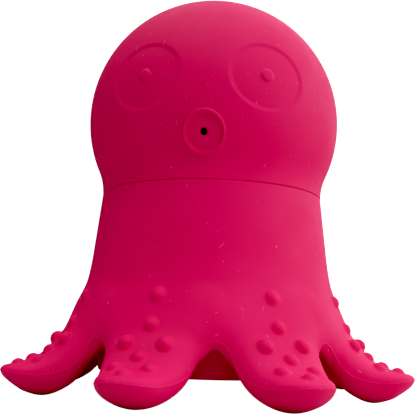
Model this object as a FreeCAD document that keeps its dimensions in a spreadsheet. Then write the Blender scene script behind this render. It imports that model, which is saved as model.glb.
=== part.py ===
import FreeCAD, Part
import math
import os

import Sketcher
from FreeCAD import Placement, Rotation, Vector

# Silicone octopus bath toy: a round head plugged into a flared, hollow body with
# eight arms. Millimetres, +Z up, Z is the axis of symmetry, the ground is Z = 0,
# and the gap between the two front arms faces -Y.

DRIVING_SIZES = [
    ("head_radius", 32.15),
    ("head_centre_height", 67.95),
    ("neck_radius", 27.9),
    ("neck_fillet", 15.0),
    ("wall", 3.0),
    ("face_turn", -6.9),
    ("eye_radius", 8.4),
    ("eye_azimuth", 26.2),
    ("eye_elevation", 7.2),
    ("eye_depth", 0.7),
    ("pupil_radius", 1.5),
    ("mouth_elevation", -17.5),
    ("mouth_radius", 4.65),
    ("mouth_lip", 0.85),
    ("squirt_radius", 0.8),
    ("plug_length", 8.0),
    ("plug_wall", 2.4),
    ("bead_radius", 1.1),
    ("running_gap", 0.05),
    ("flare_start_height", 33.0),
    ("flare_start_radius", 29.5),
    ("flare_radius", 55.8),
    ("flare_end_height", 17.0),
    ("flare_end_radius", 33.6),
    ("shoulder_radius", 8.8),
    ("web_radius", 34.3),
    ("web_height", 14.0),
    ("web_edge", 1.7),
    ("chamber_radius", 27.0),
    ("base_height", 5.0),
    ("arm_reach", 50.0),
    ("root_start", 32.5),
    ("root_end", 36.1),
    ("sucker_radius", 1.7),
]

ARM_COUNT = 8
ARM_SPACING = 360.0 / ARM_COUNT
FIRST_ARM_AZIMUTH = ARM_SPACING / 2.0
SECTION_POWER_TOP = 2.6
SECTION_POWER_BOTTOM = 1.9
SECTION_POINTS = 9

# One arm from the body outwards: distance from the axis, half width, and the heights
# of the parting line, of the keel below it and of the crest above it.
ARM_STATIONS = [
    (32.5, 11.8, 13.0, 4.3, 20.5),
    (36.1, 9.7, 7.2, 1.5, 13.9),
    (40.5, 8.4, 5.3, 0.0, 9.1),
    (44.5, 6.8, 4.9, 0.8, 7.4),
    (47.8, 5.0, 5.2, 2.9, 6.9),
    (49.4, 3.0, 5.5, 4.3, 6.4),
    (50.0, 1.3, 5.6, 5.1, 6.0),
]

# Suckers on one arm: distance from the axis and height of the dome's top, the dome's
# lean from the vertical in degrees, and how far the pair stands off the arm's crest.
BODY_SUCKER = (33.0, 22.9, 72.0, 0.0)
ROOT_SUCKER = (35.5, 17.2, 55.0, 0.0)
ARM_SUCKERS = [
    (38.2, 13.7, 48.0, 4.3),
    (40.5, 11.0, 40.0, 0.0),
    (43.0, 9.1, 22.0, 3.6),
    (46.5, 8.2, 8.0, 0.0),
]
BODY_SUCKER_RADIUS = 1.85

# The body carries the first stretch of each arm: the station it follows, how much
# narrower it is than the arm, and how far it reaches above the parting line.
ROOT_STATION = 0
STUB_MARGIN = 1.0
STUB_LID = 2.0


def make_sheet(doc):
    """The driving dimensions, one per row, each with its own alias."""
    sheet = doc.addObject("Spreadsheet::Sheet", "sizes")
    for row, (alias, value) in enumerate(DRIVING_SIZES, start=1):
        sheet.set(f"A{row}", alias)
        sheet.set(f"B{row}", str(value))
        sheet.setAlias(f"B{row}", alias)
    doc.recompute()
    return sheet


def bind(obj, path, alias):
    """Drive one property of an object from a cell of the sheet."""
    obj.setExpression(path, f"sizes.{alias}")


def size_of(sheet, value):
    """A number stays itself, and a word is looked up in the sheet."""
    if isinstance(value, str):
        return float(sheet.get(value))
    return float(value)


def arc_between(start, end, radius, side):
    """The shorter arc from start to end, its centre to the left (side 1) or right."""
    chord = end - start
    rise = math.sqrt(radius**2 - (chord.Length / 2.0) ** 2)
    left = Vector(-chord.y, chord.x, 0).normalize()
    centre = (start + end) * 0.5 + left * (rise * side)
    first, last = (start, end) if side > 0 else (end, start)
    angle_first = math.atan2(first.y - centre.y, first.x - centre.x)
    angle_last = math.atan2(last.y - centre.y, last.x - centre.x)
    circle = Part.Circle(centre, Vector(0, 0, 1), radius)
    return Part.ArcOfCircle(circle, angle_first, angle_last)


def name_constraint(sketch, constraint, source):
    """Add a constraint, and bind it to the sheet where its size is a named one."""
    index = sketch.addConstraint(constraint)
    if isinstance(source, str):
        label = f"{source}_{index}"
        sketch.renameConstraint(index, label)
        bind(sketch, f"Constraints.{label}", source)


def sketch_outline(sheet, body, name, corners, arcs):
    """A closed outline in the XZ plane through corners (radius, height).

    arcs maps an edge's number to (radius, side); the other edges are straight.
    """
    sketch = body.newObject("Sketcher::SketchObject", name)
    planes = [item for item in body.Origin.OriginFeatures if item.Role == "XZ_Plane"]
    sketch.AttachmentSupport = (planes[0], [""])
    sketch.MapMode = "FlatFace"
    points = [Vector(size_of(sheet, r), size_of(sheet, z), 0) for r, z in corners]
    ends = []
    for index, start in enumerate(points):
        end = points[(index + 1) % len(points)]
        if index in arcs:
            radius, side = arcs[index]
            edge = arc_between(start, end, size_of(sheet, radius), side)
            ends.append((1, 2) if side > 0 else (2, 1))
        else:
            edge = Part.LineSegment(start, end)
            ends.append((1, 2))
        sketch.addGeometry(edge)
    for index in range(len(points)):
        following = (index + 1) % len(points)
        joint = (index, ends[index][1], following, ends[following][0])
        sketch.addConstraint(Sketcher.Constraint("Coincident", *joint))
    for index, (radius, height) in enumerate(corners):
        vertex = (index, ends[index][0])
        if points[index].x == 0:
            sketch.addConstraint(Sketcher.Constraint("PointOnObject", *vertex, -2))
        else:
            across = Sketcher.Constraint("DistanceX", -1, 1, *vertex, points[index].x)
            name_constraint(sketch, across, radius)
        upward = Sketcher.Constraint("DistanceY", -1, 1, *vertex, points[index].y)
        name_constraint(sketch, upward, height)
    for index, (radius, _) in arcs.items():
        bend = Sketcher.Constraint("Radius", index, size_of(sheet, radius))
        name_constraint(sketch, bend, radius)
    return sketch


def revolved_body(doc, sheet, name, corners, arcs):
    """A body of revolution about Z."""
    body = doc.addObject("PartDesign::Body", name)
    sketch = sketch_outline(sheet, body, f"{name}_outline", corners, arcs)
    turn = body.newObject("PartDesign::Revolution", f"{name}_turned")
    turn.Profile = sketch
    turn.ReferenceAxis = (sketch, ["V_Axis"])
    turn.Angle = 360
    doc.recompute()
    return body


def fused(doc, name, shapes):
    """The union of several objects."""
    union = doc.addObject("Part::MultiFuse", name)
    union.Shapes = shapes
    doc.recompute()
    return union


def cut_away(doc, name, base, tool):
    """The base with the tool's space taken out of it."""
    cut = doc.addObject("Part::Cut", name)
    cut.Base = base
    cut.Tool = tool
    doc.recompute()
    return cut


def seam_height(sheet):
    """Where the neck's concave fillet, tangent to the head, turns vertical."""
    fillet = size_of(sheet, "neck_fillet")
    to_fillet = size_of(sheet, "head_radius") + fillet
    across = size_of(sheet, "neck_radius") + fillet
    drop = math.sqrt(to_fillet**2 - across**2)
    return size_of(sheet, "head_centre_height") - drop


def bore_radius(sheet):
    """The inside of the body's neck."""
    return size_of(sheet, "neck_radius") - size_of(sheet, "wall")


def plug_outer_radius(sheet):
    """The plug's beads run in the neck's bore."""
    return bore_radius(sheet) - size_of(sheet, "running_gap")


def plug_inner_radius(sheet):
    return plug_outer_radius(sheet) - size_of(sheet, "plug_wall")


def head_direction(sheet, azimuth, elevation):
    """Unit vector from the head's centre; azimuth 0 is the middle of the face."""
    turn = math.radians(size_of(sheet, "face_turn") + azimuth)
    lift = math.radians(elevation)
    level = math.cos(lift)
    return Vector(level * math.sin(turn), -level * math.cos(turn), math.sin(lift))


def on_head(sheet, azimuth, elevation, distance):
    """A placement with Z pointing out of the head, at a distance from its centre."""
    normal = head_direction(sheet, azimuth, elevation)
    centre = Vector(0, 0, size_of(sheet, "head_centre_height"))
    return Placement(centre + normal * distance, Rotation(Vector(0, 0, 1), normal))


def head_ball(doc, sheet):
    """The hollow ball with its concave neck, open at the seam."""
    head = size_of(sheet, "head_radius")
    centre = size_of(sheet, "head_centre_height")
    fillet = size_of(sheet, "neck_fillet")
    seam = seam_height(sheet)
    share = head / (head + fillet)
    tangent_radius = (size_of(sheet, "neck_radius") + fillet) * share
    tangent_height = centre - (centre - seam) * share
    inside = head - size_of(sheet, "wall")
    mouth = plug_inner_radius(sheet)
    ledge = centre - math.sqrt(inside**2 - mouth**2)
    corners = [
        ("neck_radius", seam),
        (tangent_radius, tangent_height),
        (0, centre + head),
        (0, centre + inside),
        (mouth, ledge),
        (mouth, seam),
    ]
    arcs = {0: ("neck_fillet", -1), 1: ("head_radius", 1), 3: (inside, -1)}
    return revolved_body(doc, sheet, "head_ball", corners, arcs)


def eye_dish(doc, sheet, name, azimuth):
    """The space of one shallow eye dish, whose floor follows the head."""
    elevation = size_of(sheet, "eye_elevation")
    head = size_of(sheet, "head_radius")
    drill = doc.addObject("Part::Cylinder", f"{name}_drill")
    bind(drill, "Radius", "eye_radius")
    drill.Height = head / 2.0
    drill.Placement = on_head(sheet, azimuth, elevation, head * 0.75)
    floor = doc.addObject("Part::Sphere", f"{name}_floor")
    floor.setExpression("Radius", "sizes.head_radius - sizes.eye_depth")
    floor.Placement.Base = Vector(0, 0, size_of(sheet, "head_centre_height"))
    return cut_away(doc, name, drill, floor)


def pupil(doc, sheet, name, azimuth):
    """The small domed button in the middle of an eye."""
    sunk = size_of(sheet, "head_radius") - size_of(sheet, "eye_depth") - 0.8
    button = doc.addObject("Part::Sphere", name)
    bind(button, "Radius", "pupil_radius")
    button.Placement = on_head(sheet, azimuth, size_of(sheet, "eye_elevation"), sunk)
    return button


def mouth_lip(doc, sheet):
    """The raised ring round the squirt hole, with its sloping skirt."""
    head = size_of(sheet, "head_radius")
    elevation = size_of(sheet, "mouth_elevation")
    ring = doc.addObject("Part::Torus", "mouth_crest")
    bind(ring, "Radius1", "mouth_radius")
    bind(ring, "Radius2", "mouth_lip")
    ring.Placement = on_head(sheet, 0, elevation, head + 0.1)
    skirt = doc.addObject("Part::Cone", "mouth_skirt")
    skirt.Radius1 = size_of(sheet, "mouth_radius") + 2.0
    bind(skirt, "Radius2", "mouth_radius")
    skirt.Height = 2.0
    skirt.Placement = on_head(sheet, 0, elevation, head - 1.2)
    return [ring, skirt]


def mouth_dish(doc, sheet):
    """The dished space inside the lip, and the squirt hole through the wall."""
    head = size_of(sheet, "head_radius")
    elevation = size_of(sheet, "mouth_elevation")
    dish = doc.addObject("Part::Cone", "mouth_dish")
    dish.Radius1 = 2.6
    dish.Radius2 = 4.3
    dish.Height = 2.0
    dish.Placement = on_head(sheet, 0, elevation, head - 0.4)
    hole = doc.addObject("Part::Cylinder", "squirt_hole")
    bind(hole, "Radius", "squirt_radius")
    hole.Height = 8.0
    hole.Placement = on_head(sheet, 0, elevation, head - 6.0)
    return [dish, hole]


def make_head_shell(doc, sheet):
    """The head: ball, eye dishes with their pupils, and the ringed squirt mouth."""
    ball = head_ball(doc, sheet)
    aside = size_of(sheet, "eye_azimuth")
    sides = {"right": aside, "left": -aside}
    dishes = [eye_dish(doc, sheet, f"eye_dish_{side}", turn) for side, turn in sides.items()]
    with_eyes = cut_away(doc, "head_with_eyes", ball, fused(doc, "eye_dishes", dishes))
    pupils = [pupil(doc, sheet, f"pupil_{side}", turn) for side, turn in sides.items()]
    proud = fused(doc, "head_features", [with_eyes] + pupils + mouth_lip(doc, sheet))
    shell = cut_away(doc, "head_shell", proud, fused(doc, "mouth_space", mouth_dish(doc, sheet)))
    shell.Label = "head_shell"
    return shell


def make_neck_plug(doc, sheet):
    """The ring below the head that grips the body's neck with two rounded beads."""
    seam = seam_height(sheet)
    beads = plug_outer_radius(sheet)
    core = beads - 0.35
    inside = plug_inner_radius(sheet)
    bottom = seam - size_of(sheet, "plug_length")
    half = math.sqrt(size_of(sheet, "bead_radius") ** 2 - (size_of(sheet, "bead_radius") - 0.35) ** 2)
    upper = seam - 2.4
    lower = seam - 5.6
    corners = [
        (inside, bottom),
        (core - 0.6, bottom),
        (core, bottom + 0.8),
        (core, lower - half),
        (core, lower + half),
        (core, upper - half),
        (core, upper + half),
        (core, seam),
        (inside, seam),
    ]
    arcs = {3: ("bead_radius", 1), 5: ("bead_radius", 1)}
    plug = revolved_body(doc, sheet, "neck_plug", corners, arcs)
    plug.Label = "neck_plug"
    return plug


def bell_outside(doc, sheet):
    """The body's outer form: straight neck, flare, web edge and closed base."""
    parting = size_of(sheet, "web_height")
    edge = size_of(sheet, "web_edge")
    web = size_of(sheet, "web_radius")
    chamber = size_of(sheet, "chamber_radius")
    corners = [
        (0, "base_height"),
        (chamber - 0.8, "base_height"),
        ("chamber_radius", size_of(sheet, "base_height") + 0.8),
        ("chamber_radius", parting + 1.2),
        (chamber + 1.2, parting + 2.4),
        (chamber + 3.2, parting + 1.6),
        (web - edge, parting - edge),
        ("web_radius", "web_height"),
        ("flare_end_radius", "flare_end_height"),
        ("flare_start_radius", "flare_start_height"),
        ("neck_radius", seam_height(sheet)),
        (0, seam_height(sheet)),
    ]
    arcs = {6: ("web_edge", 1), 7: ("shoulder_radius", 1), 8: ("flare_radius", -1)}
    return revolved_body(doc, sheet, "bell_outside", corners, arcs)


def bell_cavity(doc, sheet):
    """The water space: neck bore, belly and rounded floor."""
    bore = bore_radius(sheet)
    wall = size_of(sheet, "wall")
    floor = size_of(sheet, "base_height") + wall
    plug_end = seam_height(sheet) - size_of(sheet, "plug_length")
    foot = size_of(sheet, "chamber_radius") - wall
    corners = [
        (0, floor),
        (foot - 4.0, floor),
        (foot, floor + 4.0),
        (foot, size_of(sheet, "web_height")),
        (size_of(sheet, "flare_start_radius") - wall - 0.4, size_of(sheet, "flare_start_height") - 8.0),
        (bore, plug_end - 2.0),
        (bore, seam_height(sheet) + 1.0),
        (0, seam_height(sheet) + 1.0),
    ]
    arcs = {1: (4.0, 1)}
    return revolved_body(doc, sheet, "bell_cavity", corners, arcs)


def half_section(half_width, middle, end, power):
    """Half of an arm's rounded section, from its left edge over to its right edge."""
    points = []
    for step in range(SECTION_POINTS):
        angle = math.pi * (1.0 - step / (SECTION_POINTS - 1.0))
        across = math.copysign(abs(math.cos(angle)) ** (2.0 / power), math.cos(angle))
        along = abs(math.sin(angle)) ** (2.0 / power)
        points.append((half_width * across, middle + (end - middle) * along))
    return points


def arm_section(station):
    """The closed outline across an arm that reaches along -Y."""
    reach, half_width, parting, keel, crest = station
    edges = []
    for end, power in ((crest, SECTION_POWER_TOP), (keel, SECTION_POWER_BOTTOM)):
        outline = half_section(half_width, parting, end, power)
        curve = Part.BSplineCurve()
        curve.interpolate([Vector(across, -reach, height) for across, height in outline])
        edges.append(curve.toShape())
    return Part.Wire(Part.__sortEdges__(edges))


def arm_span(sheet, start, end):
    """The smooth arm between two distances from the axis."""
    arm = Part.makeLoft([arm_section(station) for station in ARM_STATIONS], True, False)
    side = size_of(sheet, "arm_reach")
    block = Part.makeBox(2 * side, end - start, 2 * side, Vector(-side, -end, -side))
    return arm.common(block)


def arm_stub(sheet, start):
    """The underside of an arm's root, carried straight back into the body's wall."""
    reach, half_width, parting, keel, _ = ARM_STATIONS[ROOT_STATION]
    narrow = half_width - STUB_MARGIN
    lower = half_section(narrow, parting, keel, SECTION_POWER_BOTTOM)
    curve = Part.BSplineCurve()
    curve.interpolate([Vector(across, -reach, height) for across, height in lower])
    left = Vector(-narrow, -reach, parting)
    right = Vector(narrow, -reach, parting)
    lid = Vector(0, 0, STUB_LID)
    sides = [Part.LineSegment(left, left + lid), Part.LineSegment(left + lid, right + lid),
             Part.LineSegment(right + lid, right)]
    wire = Part.Wire(Part.__sortEdges__([curve.toShape()] + [side.toShape() for side in sides]))
    return Part.Face(wire).extrude(Vector(0, size_of(sheet, "root_start") - start, 0))


def sucker(top, radius):
    """The domes of one sucker, or of a pair that stands either side of the crest."""
    reach, height, lean, aside = top
    tilt = math.radians(lean)
    outward = Vector(0, -math.sin(tilt), math.cos(tilt))
    domes = []
    for side in ((-1, 1) if aside else (0,)):
        centre = Vector(side * aside, -reach, height) - outward * radius
        domes.append(Part.makeSphere(radius, centre, outward))
    return domes


def arm_azimuths():
    """Each arm's turn about Z, counted from the front gap."""
    return [FIRST_ARM_AZIMUTH + ARM_SPACING * index for index in range(ARM_COUNT)]


def turned(azimuth):
    return Placement(Vector(0, 0, 0), Rotation(Vector(0, 0, 1), azimuth))


def add_shape(doc, name, shape, azimuth):
    """An object of the document that holds a shape, turned about Z."""
    feature = doc.addObject("Part::Feature", name)
    feature.Shape = shape
    feature.Placement = turned(azimuth)
    return feature


def make_bell(doc, sheet):
    """The hollow body, with flat seats for the arms and the first stretch of each."""
    facets = doc.addObject("Part::Prism", "arm_seats")
    facets.Polygon = ARM_COUNT
    facets.Circumradius = size_of(sheet, "root_start") / math.cos(math.radians(ARM_SPACING / 2.0))
    facets.Height = seam_height(sheet)
    seated = doc.addObject("Part::Common", "bell_seated")
    seated.Base = bell_outside(doc, sheet)
    seated.Tool = facets
    stub = arm_stub(sheet, size_of(sheet, "chamber_radius") - 1.0)
    dome = sucker(BODY_SUCKER, BODY_SUCKER_RADIUS)[0]
    pieces = [seated]
    for index, azimuth in enumerate(arm_azimuths(), start=1):
        pieces.append(add_shape(doc, f"arm_stub_{index}", stub, azimuth))
        pieces.append(add_shape(doc, f"body_sucker_{index}", dome, azimuth))
    bell = cut_away(doc, "bell", fused(doc, "bell_mass", pieces), bell_cavity(doc, sheet))
    bell.Label = "bell"
    return bell


def make_arms(doc, sheet):
    """Eight arms, each a bending root and a free tentacle with its suckers."""
    radius = size_of(sheet, "sucker_radius")
    start = size_of(sheet, "root_start")
    end = size_of(sheet, "root_end")
    root = arm_span(sheet, start, end).fuse(sucker(ROOT_SUCKER, radius))
    root = root.common(Part.makeBox(100, end - start, 100, Vector(-50, -end, -50)))
    tip = arm_span(sheet, end, size_of(sheet, "arm_reach") + 1.0)
    domes = [dome for top in ARM_SUCKERS for dome in sucker(top, radius)]
    tip = tip.fuse(domes)
    tip = tip.common(Part.makeBox(100, 50, 100, Vector(-50, -end - 50, -50)))
    arms = []
    for index, azimuth in enumerate(arm_azimuths(), start=1):
        arms.append(add_shape(doc, f"tentacle_{index}_root", root, azimuth))
        arms.append(add_shape(doc, f"tentacle_{index}", tip, azimuth))
    return arms


def check_document(doc, parts):
    """Stop if any object failed, or a sub-part has no valid solid."""
    for item in doc.Objects:
        if {"Invalid", "Error"} & set(item.State):
            raise RuntimeError(f"{item.Name} failed: {item.State}")
    for part in parts:
        shape = part.Shape
        if shape.isNull() or not shape.isValid() or not shape.Solids:
            raise RuntimeError(f"{part.Label} has no valid solid")


def main():
    doc = FreeCAD.newDocument("octopus_toy")
    sheet = make_sheet(doc)
    parts = [make_head_shell(doc, sheet), make_neck_plug(doc, sheet), make_bell(doc, sheet)]
    parts += make_arms(doc, sheet)
    doc.recompute()
    check_document(doc, parts)
    os.makedirs("parts", exist_ok=True)
    for part in parts:
        part.Shape.exportStep(f"parts/{part.Label}.step")
        box = part.Shape.BoundBox
        print(f"{part.Label}: {len(part.Shape.Solids)} solid, {part.Shape.Volume / 1000.0:.2f} cm3, "
              f"Z {box.ZMin:.2f} to {box.ZMax:.2f}")


main()
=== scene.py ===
"""Looks of the octopus bath toy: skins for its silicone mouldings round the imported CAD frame.

The skins are worked out in millimetres and made in metres. +Z is up, Z is the toy's axis,
and the gap between the two front arms faces -Y. Angles round the toy are counted from -Y
towards +X.
"""

import math

import bmesh
import bpy
import numpy as np
from mathutils import Matrix, Vector
from mathutils.geometry import delaunay_2d_cdt


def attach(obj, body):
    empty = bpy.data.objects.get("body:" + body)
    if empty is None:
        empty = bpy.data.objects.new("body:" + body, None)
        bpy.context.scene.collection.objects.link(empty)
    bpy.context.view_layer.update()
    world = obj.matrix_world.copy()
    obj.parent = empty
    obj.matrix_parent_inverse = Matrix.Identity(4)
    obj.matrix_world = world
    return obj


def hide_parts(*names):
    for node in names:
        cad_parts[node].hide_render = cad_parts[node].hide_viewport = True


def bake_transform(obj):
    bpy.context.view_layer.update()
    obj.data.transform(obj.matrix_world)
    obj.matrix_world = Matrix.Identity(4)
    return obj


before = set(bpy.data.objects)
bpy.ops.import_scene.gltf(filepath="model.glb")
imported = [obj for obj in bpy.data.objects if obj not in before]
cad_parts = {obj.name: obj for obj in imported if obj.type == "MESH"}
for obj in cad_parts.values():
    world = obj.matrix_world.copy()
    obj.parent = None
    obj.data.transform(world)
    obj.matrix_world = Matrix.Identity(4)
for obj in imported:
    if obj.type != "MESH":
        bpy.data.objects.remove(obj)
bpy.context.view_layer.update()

MM = 0.001

# ---------------------------------------------------------------- sizes, in millimetres

SEAM = 48.387
ARM_COUNT = 8
ARM_SPACING = 360.0 / ARM_COUNT
HALF_SECTOR = ARM_SPACING / 2.0

# The flat seat where an arm leaves the body: its distance from the axis at a height of
# 13 mm, and how far it leans outwards for each millimetre of height, which keeps the
# topmost sucker whole on the body.
SEAT_REACH = 32.5
SEAT_HEIGHT = 13.0
SEAT_LEAN = 0.1

# Corners of the body's outside as (radius, height). An edge with an entry in the arcs is
# bent to that radius, its centre on the left (1) or on the right (-1) of the walk.
BODY_CORNERS = [
    (0.0, 5.0), (26.2, 5.0), (27.0, 5.8), (27.0, 11.5), (28.0, 12.5), (32.6, 12.3),
    (34.3, 14.0), (33.6, 17.0), (29.5, 33.0), (27.9, 48.03), (27.55, 48.38), (0.0, 48.38),
]
BODY_ARCS = {
    1: (0.8, 1), 3: (1.0, -1), 5: (1.7, 1), 6: (8.8, 1), 7: (55.8, -1), 9: (0.35, 1),
}
CAVITY_CORNERS = [
    (0.0, 8.0), (20.0, 8.0), (24.0, 12.0), (24.0, 14.0), (26.1, 25.0), (24.9, 38.4),
    (24.9, 48.08), (25.2, 48.38), (25.2, 52.0), (0.0, 52.0),
]
CAVITY_ARCS = {1: (4.0, 1), 3: (40.0, -1), 4: (60.0, 1), 6: (0.3, -1)}

# An arm at stations along it: distance from the axis, half width, height of the parting
# line, and how far the keel lies below it and the crest above it. Towards the tip the
# width, keel and crest are those of the section before the tip's own rounding.
ARM_STATIONS = [
    (28.0, 15.5, 15.9, 5.6, 10.1),
    (31.7, 13.0, 14.0, 7.3, 8.2),
    (33.0, 11.1, 12.4, 8.2, 7.0),
    (34.5, 10.1, 9.1, 6.5, 7.3),
    (36.5, 9.6, 6.9, 5.6, 6.7),
    (40.5, 8.4, 5.3, 5.3, 4.15),
    (44.5, 6.9, 4.9, 4.05, 2.7),
    (47.8, 6.25, 5.2, 2.9, 2.12),
    (50.0, 6.3, 5.6, 2.6, 2.1),
]
TIP_START = 44.5
TIP_END = 50.0
CREST_POWER = 2.6
KEEL_POWER = 1.9
ARM_BLEND = 1.0
ROOT_BLEND = 1.4
CAVITY_BLEND = 0.3

# Suckers of one arm: distance from the axis and height of the dome's top, its lean from
# the vertical in degrees, how far a pair stands off the crest (0 for a single one), and
# the dome's radius.
SUCKERS = [
    (32.9, 22.9, 72.0, 0.0, 1.95),
    (35.4, 17.1, 55.0, 0.0, 1.8),
    (38.1, 13.6, 48.0, 4.3, 1.75),
    (40.4, 10.9, 40.0, 0.0, 1.75),
    (43.0, 9.0, 22.0, 3.6, 1.75),
    (46.5, 8.15, 8.0, 0.0, 1.65),
]
SUCKER_BLEND = 0.4

# A fine bead marks the mould's parting line along the webs and arms. The body's grid is
# bent so that its level at the web's parting height follows that line.
PARTING_BEAD_HEIGHT = 0.12
PARTING_BEAD_WIDTH = 0.17
PARTING_BEAD_START = 28.5
WEB_PARTING = 13.3

# The head is a ball on a concave neck; its height is that of the ball's centre. Turns and
# elevations are in degrees, seen from there. The face looks FACE_TURN off -Y, and the
# eyes, pupils and mouth are placed from the face's own middle.
HEAD_RADIUS = 32.15
HEAD_HEIGHT = 67.95
HEAD_WALL = 3.0
FACE_TURN = -6.9
NECK_RADIUS = 27.9
NECK_FILLET = 15.0
NECK_EDGE = 0.25
NECK_JOIN_ELEVATION = -24.5
HEAD_COLUMNS = 240

# Each eye is a shallow dish with a soft step round it, a little wider than it is high.
EYE_ASIDE = 26.3
EYE_ELEVATION = 7.25
EYE_RADIUS = 8.45
EYE_SHAPE = (1.055, 0.955)
EYE_DEPTH = 0.32
EYE_STEP = 1.3
ROUND = (1.0, 1.0)

# Heights of a pupil over its eye and of the mouth over the head, at distances from their
# centres over the ball.
PUPIL_ASIDE = 26.0
PUPIL_ELEVATION = 7.2
PUPIL_REACH = 1.8
PUPIL_PROFILE = [
    (0.0, 0.4), (0.7, 0.39), (1.1, 0.35), (1.35, 0.25), (1.5, 0.13), (1.65, 0.03),
    (PUPIL_REACH, 0.0),
]
MOUTH_ASIDE = 0.2
MOUTH_ELEVATION = -17.5
MOUTH_SHAPE = (0.97, 1.03)
MOUTH_REACH = 7.4
MOUTH_PROFILE = [
    (0.86, -0.5), (1.1, -0.24), (1.4, -0.14), (2.6, -0.12), (3.8, -0.14), (4.1, -0.08),
    (4.28, 0.2), (4.45, 0.52), (4.6, 0.6), (4.75, 0.5), (4.9, 0.22), (5.05, 0.04), (5.3, 0.0),
]
SQUIRT_RADIUS = 0.86

# The plug below the seam, and the heights of its two beads. A hair's gap keeps the head,
# the plug and the body apart at the seam.
PLUG_OUTSIDE = 24.5
PLUG_INSIDE = 22.45
PLUG_BOTTOM = 40.39
PLUG_TOP = SEAM + 0.02
HEAD_FOOT = SEAM + 0.03
PLUG_BEADS = (42.8, 46.0)
BEAD_RADIUS = 1.1
BEAD_RISE = 0.35

# Colours as linear shares of red, green and blue, how far a dust speck hides the
# silicone's own colour, and how far lint does so compared with a speck.
SILICONE_DEEP = (0.728, 0.0148, 0.099, 1.0)
SILICONE_LIGHT = (0.756, 0.0168, 0.109, 1.0)
DUST_COLOUR = (0.9, 0.4, 0.5, 1.0)
DUST_COVER = 0.5
LINT_COVER = 0.55
SILICONE_IOR = 1.41
SILICONE_SPECULAR = 0.16

# How far along a lint fibre it curls, and how far aside, in metres.
FIBRE_CURL = 0.002
FIBRE_SWAY = 0.0012


# ---------------------------------------------------------------- shape fields

def smooth_min(a, b, blend):
    """The lesser of two distances, rounded where they are nearly equal."""
    closeness = np.clip(blend - np.abs(a - b), 0.0, None)
    return np.minimum(a, b) - closeness**2 / (4.0 * blend)


def smooth_max(a, b, blend):
    return -smooth_min(-a, -b, blend)


def smooth_step(share):
    share = np.clip(share, 0.0, 1.0)
    return share * share * (3.0 - 2.0 * share)


def arc_points(start, end, radius, side, count=14):
    """Points on the shorter arc between two corners, both ends included."""
    start, end = np.array(start, float), np.array(end, float)
    chord = end - start
    length = np.hypot(*chord)
    left = np.array([-chord[1], chord[0]]) / length
    centre = (start + end) / 2.0 + left * side * math.sqrt(radius**2 - length**2 / 4.0)
    first = math.atan2(*(start - centre)[::-1])
    turn = (math.atan2(*(end - centre)[::-1]) - first + math.pi) % (2.0 * math.pi) - math.pi
    angles = first + turn * np.linspace(0.0, 1.0, count + 1)
    return centre + radius * np.stack([np.cos(angles), np.sin(angles)], 1)


def outline(corners, arcs):
    """A closed outline through the corners, with some of its edges bent to arcs."""
    points = []
    for index, start in enumerate(corners):
        end = corners[(index + 1) % len(corners)]
        if index in arcs:
            points.extend(arc_points(start, end, *arcs[index])[:-1])
        else:
            points.append(np.array(start))
    return np.array(points)


class RevolvedSolid:
    """Distance outside a turned solid, looked up in a map of its (radius, height) section."""

    STEP = 0.1
    LOW = np.array([0.0, 3.0])
    HIGH = np.array([38.0, 50.0])

    def __init__(self, corners, arcs):
        points = outline(corners, arcs)
        self.sizes = np.round((self.HIGH - self.LOW) / self.STEP).astype(int) + 1
        axes = [low + self.STEP * np.arange(n) for low, n in zip(self.LOW, self.sizes)]
        r, z = np.meshgrid(*axes, indexing="ij")
        nearest = np.full(r.shape, np.inf)
        inside = np.zeros(r.shape, bool)
        for (r0, z0), (r1, z1) in zip(points, np.roll(points, -1, axis=0)):
            dr, dz = r1 - r0, z1 - z0
            along = np.clip(((r - r0) * dr + (z - z0) * dz) / (dr * dr + dz * dz), 0.0, 1.0)
            if max(r0, r1) > 0.0:
                nearest = np.minimum(nearest, np.hypot(r - r0 - along * dr, z - z0 - along * dz))
            if z0 != z1:
                crosses = ((z0 > z) != (z1 > z)) & (r < r0 + (z - z0) * dr / dz)
                inside ^= crosses
        self.map = np.where(inside, -nearest, nearest)

    def __call__(self, r, z):
        place = (np.stack([r, z]) - self.LOW[:, None]) / self.STEP
        place = np.clip(place, 0.0, (self.sizes - 1.001)[:, None])
        cell = place.astype(int)
        (i, j), (s, t) = cell, place - cell
        near = self.map[i, j] * (1.0 - t) + self.map[i, j + 1] * t
        far = self.map[i + 1, j] * (1.0 - t) + self.map[i + 1, j + 1] * t
        return near * (1.0 - s) + far * s


class SmoothTable:
    """Columns of numbers against the first, joined by a smooth curve through each."""

    def __init__(self, rows, step, blur):
        rows = np.array(rows, float)
        at, values = rows[:, 0], rows[:, 1:]
        margin = 4.0 * blur
        self.at = np.arange(at[0] - margin, at[-1] + margin, step)
        slopes = np.gradient(values, at, axis=0)
        slopes[0] = 0.0
        place = np.clip(self.at, at[0], at[-1])
        index = np.clip(np.searchsorted(at, place, side="right") - 1, 0, len(at) - 2)
        width = (at[index + 1] - at[index])[:, None]
        t = ((place - at[index])[:, None]) / width
        fine = ((1 + 2 * t) * (1 - t) ** 2 * values[index]
                + t * (1 - t) ** 2 * width * slopes[index]
                + t * t * (3 - 2 * t) * values[index + 1]
                - t * t * (1 - t) * width * slopes[index + 1])
        fine += ((self.at - place)[:, None]) * slopes[-1] * (self.at > at[-1])[:, None]
        offsets = np.arange(-int(margin / step), int(margin / step) + 1) * step
        weights = np.exp(-0.5 * (offsets / blur) ** 2)
        weights /= weights.sum()
        padded = np.pad(fine, ((len(weights) // 2,) * 2, (0, 0)), mode="edge")
        self.columns = [np.convolve(column, weights, mode="valid") for column in padded.T]

    def __call__(self, at, column=0):
        return np.interp(at, self.at, self.columns[column])


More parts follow.
